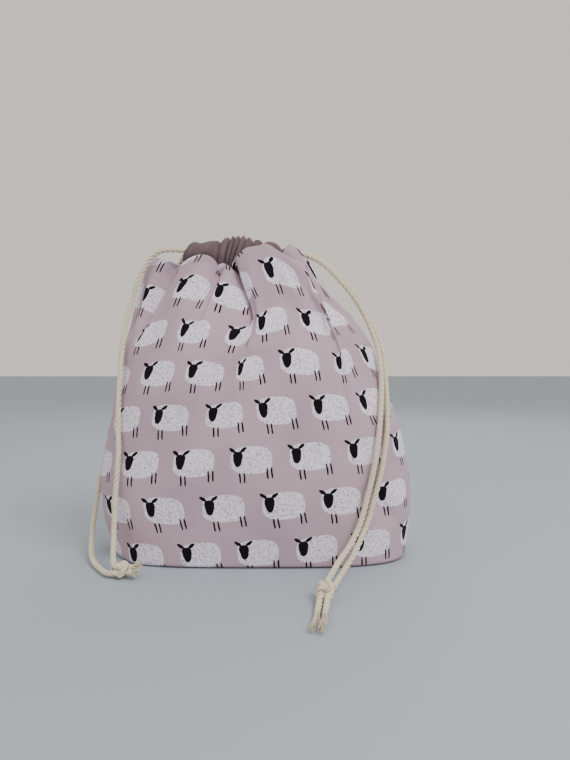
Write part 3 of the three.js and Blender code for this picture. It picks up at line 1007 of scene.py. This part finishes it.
def fibres(name, root, direction, count, length, spread, rng):
    """Loose cotton threads fanning out from a cut cord end, resting above the table."""
    direction = np.array(direction, float) / np.linalg.norm(direction)
    side = np.cross(direction, (0, 0, 1))
    side /= np.linalg.norm(side)
    parts = []
    for k in range(count):
        start = np.array(root) + side * rng.uniform(-1.9, 1.9)
        start = start + np.array([0, 0, rng.uniform(-1.6, 1.6)])
        swing = rng.normal(0, spread)
        lift = rng.normal(0, spread * 0.6)
        reach = length * rng.uniform(0.6, 1.0)
        t = np.linspace(0, 1, 9)[:, None]
        wave = rng.uniform(-1, 1) * 0.6
        line = (start + direction * reach * t + side * (swing * reach * t ** 1.4
                + wave * np.sin(t * 6 + k)) + np.array([0, 0, 1]) * (lift * reach * t ** 1.3))
        line[:, 2] = np.maximum(line[:, 2], THREAD_CLEARANCE)
        parts.append(thread(f"{name}_{k}", line, rng.uniform(0.55, 0.85)))
    return parts


def thread(name, line, diameter):
    """A single tapered thread with six sides."""
    sides = 6
    line = resample(line, count=14)
    _, across, up = carried_frames(line)
    angle = np.arange(sides) / sides * 2 * np.pi
    radius = diameter / 2 * (1 - 0.6 * np.linspace(0, 1, len(line)) ** 2)
    rings = line[:, None] + radius[:, None, None] * (np.cos(angle)[None, :, None] * across[:, None]
            + np.sin(angle)[None, :, None] * up[:, None])
    faces = grid_faces(len(line), sides, closed=True)
    faces.append(tuple(range(sides - 1, -1, -1)))
    faces.append(tuple((len(line) - 1) * sides + k for k in range(sides)))
    uv = np.stack(np.meshgrid(np.arange(sides) / sides, np.arange(len(line)) * 0.001), 2)
    return add_mesh(name, rings.reshape(-1, 3), faces, uv.reshape(-1, 2)[:, ::-1])


def tail(name, points, frayed, count, spread, rng):
    """A cord end past its knot: twisted first, then its threads come apart."""
    line = smooth_curve(points, ROPE_STEP)
    whole = length_of(line)
    cut = int(len(line) * (1 - frayed / whole))
    parts = [rope(name + "_twist", line[:cut + 1], CORD_DIAMETER, taper=0.12)]
    direction = line[min(cut + 6, len(line) - 1)] - line[cut - 4]
    parts += fibres(name, line[cut - 2], direction, count, frayed, spread, rng)
    return join_meshes(name, parts)


LEFT_TAILS = {
    "left_tail_front": [(-103, -90, 6), (-99, -91, 5.8), (-94.5, -92, 6.2), (-90, -93, 7.4)],
    "left_tail_back": [(-103, -86, 8), (-99, -85, 8.6), (-95, -84, 9.8), (-90.5, -83, 11.6)],
}
RIGHT_TAILS = {
    "right_tail_front": [(56, -141, 6.5), (54.6, -145.9, 5.2), (52.5, -160, 3.2),
                         (50, -175, 2.9), (49.2, -187, 2.9), (49, -197, 3.1)],
    "right_tail_back": [(61, -141, 6.3), (60.4, -145.9, 5), (58.2, -160, 3.1),
                        (55.8, -175, 2.8), (55, -187, 2.8), (54.9, -199, 3)],
}


def add_knots():
    rng = np.random.default_rng(7)
    groups = {"left": [], "right": []}
    for side, centre, size, turn in (("left", (-108, -87.6, 7.4), (7.8, 8.2, 6.2), 0.4),
                                     ("right", (58.7, -137, 8.2), (8, 9, 7.0), 1.1)):
        piece = knot(side + "_cord_knot", centre, size, turn)
        finish_piece(piece, "cotton_cord", side + "_knot")
        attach(piece, side + "_drawstring")
        groups[side].append(piece)
    for node, points in LEFT_TAILS.items():
        piece = tail("frayed_" + node, points, 9.0, 34, 0.42, rng)
        finish_piece(piece, "cotton_cord", node)
        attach(piece, "left_drawstring")
        groups["left"].append(piece)
    for node, points in RIGHT_TAILS.items():
        piece = tail("frayed_" + node, points, 30.0, 34, 0.05, rng)
        finish_piece(piece, "cotton_cord", node)
        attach(piece, "right_drawstring")
        groups["right"].append(piece)
    return groups


tails = add_knots()


# ---- drawstrings ---------------------------------------------------------------------------------
def add_leg(name, points, node, side):
    """A free length of cord from the casing to the knot."""
    line = smooth_curve(points, ROPE_STEP)
    piece = rope(name, line, CORD_DIAMETER)
    finish_piece(piece, "cotton_cord", node)
    exit_z, knot_z = points[0][2], 7.0
    heights = points_of(piece)[:, 2]
    bend(piece, side + "_drawstring", np.clip((exit_z - heights) / (exit_z - knot_z), 0, 1))
    return piece, line


def add_cords():
    for side, front, back in (("left", LEFT_FRONT_LEG, LEFT_BACK_LEG),
                              ("right", RIGHT_FRONT_LEG, RIGHT_BACK_LEG)):
        for which, points in (("front", front), ("back", back)):
            piece, line = add_leg(f"{side}_cord_{which}", points,
                                  f"{side}_drawstring_{which}_leg", side)


add_cords()


def run_height(x, lift):
    """Height of a cord in the casing; the casings lean down to the right."""
    return MOUTH_MIDDLE[1] - MOUTH_SLOPE * (x - MOUTH_MIDDLE[0]) + lift


def run_line(side, y):
    """A cord inside a casing; at the left the right cord dips past the left one, side by side."""
    if side == "left":
        x = np.linspace(-66.5 if y > 0 else -70.3, 31, 40)
        beside = 2.3 * np.exp(-((x + 49) / 8) ** 2) * np.sign(y)
        return np.column_stack([x, y + beside, run_height(x, -CORD_LIFT)])
    share = np.linspace(0, 1, 40)
    x = 31.3 - 94.3 * share
    dip = ease((share - 0.72) / 0.26)
    beside = 2.7 * np.sin(np.pi * dip) * (-np.sign(y))
    z = run_height(x, CORD_LIFT) * (1 - dip) + 283.0 * dip
    return np.column_stack([x, y + beside, z])


def add_runs():
    """The cords inside the casings, and their turns from the front casing to the back."""
    for side in ("left", "right"):
        for y, which in ((-CORD_Y, "front"), (CORD_Y, "back")):
            line = run_line(side, y)
            piece = rope(f"{side}_cord_{which}_run", line, CORD_DIAMETER)
            finish_piece(piece, "cotton_cord", f"{side}_drawstring_{which}_run")
            bend(piece, which + "_mouth", opening_share(points_of(piece)[:, 0]))
        out = 1 if side == "left" else -1
        far = line[-1]
        turn = np.linspace(-math.pi / 2, math.pi / 2, 15)
        line = np.array([(far[0] + out * RETURN_REACH * math.cos(a), CORD_Y * math.sin(a), far[2])
                         for a in turn])
        piece = rope(f"{side}_cord_return", line, CORD_DIAMETER)
        finish_piece(piece, "cotton_cord", f"{side}_drawstring_return")
        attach(piece, "bag")


add_runs()


# ---- floor and light ---------------------------------------------------------------------------
def add_stage():
    floor = add_mesh("floor", [(-9000, -9000, 0), (9000, -9000, 0), (9000, 9000, 0),
                               (-9000, 9000, 0)], [(0, 1, 2, 3)], [(0, 0), (1, 0), (1, 1), (0, 1)])
    floor.data.materials.append(floor_surface())
    world = bpy.data.worlds.new("soft room")
    world.use_nodes = True
    sky = world.node_tree.nodes["Background"]
    sky.inputs["Color"].default_value = srgb(222, 216, 208)
    sky.inputs["Strength"].default_value = 1.12
    bpy.context.scene.world = world
    for name, place, size, power in (("window", (0.9, -1.0, 1.5), 0.9, 24),
                                     ("fill", (-1.3, -0.8, 0.7), 1.2, 3),
                                     ("back", (0.3, 1.3, 1.2), 1.2, 6)):
        data = bpy.data.lights.new(name, "AREA")
        data.energy = power
        data.size = size
        lamp = bpy.data.objects.new(name, data)
        lamp.location = place
        aim = Vector((0, 0, 0.15)) - Vector(place)
        lamp.rotation_euler = aim.to_track_quat("-Z", "Y").to_euler()
        bpy.context.scene.collection.objects.link(lamp)


add_stage()
